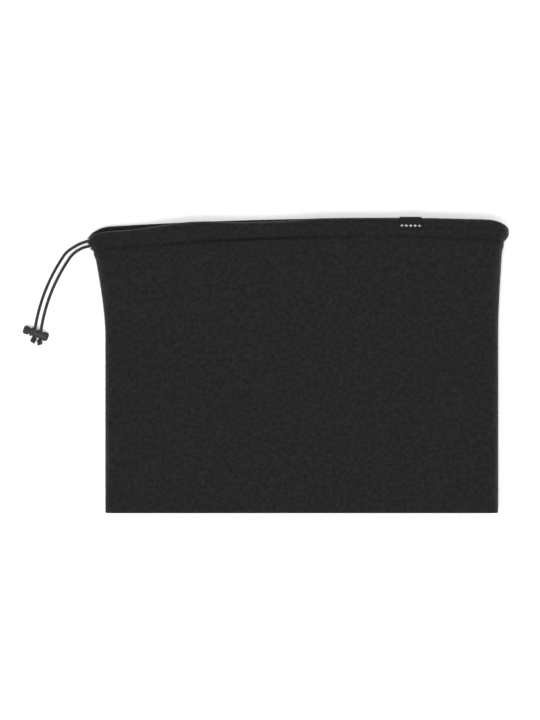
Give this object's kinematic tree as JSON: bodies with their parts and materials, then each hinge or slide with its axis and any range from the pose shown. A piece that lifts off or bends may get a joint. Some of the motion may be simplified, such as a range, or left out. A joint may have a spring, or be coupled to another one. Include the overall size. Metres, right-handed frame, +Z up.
{
  "type": "neck gaiter",
  "caption": "Fleece neck gaiter lying flat: a sewn tube with a stitched drawcord casing, elastic cord, sprung cord lock, end knots and a small woven label.",
  "frame": {"origin": "under the middle of the fabric tube as it lies flat, on the surface it lies on", "axes": "+X to the wearer-side fold away from the cords, +Y from the cut lower edge to the casing, +Z up from the surface"},
  "size_m": [0.3301, 0.2008, 0.0186],
  "materials": {
    "black_fleece": "brushed polyester fleece, matt with a soft pile",
    "black_thread": "spun polyester sewing thread",
    "elastic_cord": "braided polyester sleeve over a rubber core, black with grey flecks",
    "moulded_nylon": "moulded nylon, dark grey, fine satin texture",
    "spring_steel": "drawn spring wire",
    "damask_label": "damask woven polyester, dark ground with a pale plain pattern",
    "white_satin_ribbon": "polyester satin ribbon, blank"
  },
  "bodies": {
    "gaiter": {"fleece_panel": "black_fleece", "side_seam": "black_fleece", "side_seam_thread": "black_thread", "casing_needle_thread": "black_thread", "casing_bobbin_thread": "black_thread", "bartack_upper": "black_thread", "bartack_lower": "black_thread", "care_label": "white_satin_ribbon", "woven_label": "damask_label", "label_stitch_left": "black_thread", "label_stitch_right": "black_thread", "drawcord_in_casing": "elastic_cord", "drawcord_leg_outer": "elastic_cord", "drawcord_leg_inner": "elastic_cord", "knot_outer": "elastic_cord", "knot_inner": "elastic_cord"},
    "cord_lock": {"lock_barrel": "moulded_nylon", "lock_spring": "spring_steel"},
    "lock_button": {"lock_plunger": "moulded_nylon"}
  },
  "joints": [
    {"name": "lock_slide", "type": "hinge", "parent": "gaiter", "child": "cord_lock", "pos_m": [-0.05925, 0.0062, 0.00315], "axis": [0, 0, -1], "range_deg": [0, 24]},
    {"name": "button_press", "type": "slide", "parent": "cord_lock", "child": "lock_button", "axis": [0.9444, -0.3289, 0], "range_m": [0, 0.001], "stiffness_N_per_m": 1500, "springref_m": -0.001, "deforming": ["lock_spring"]}
  ]
}
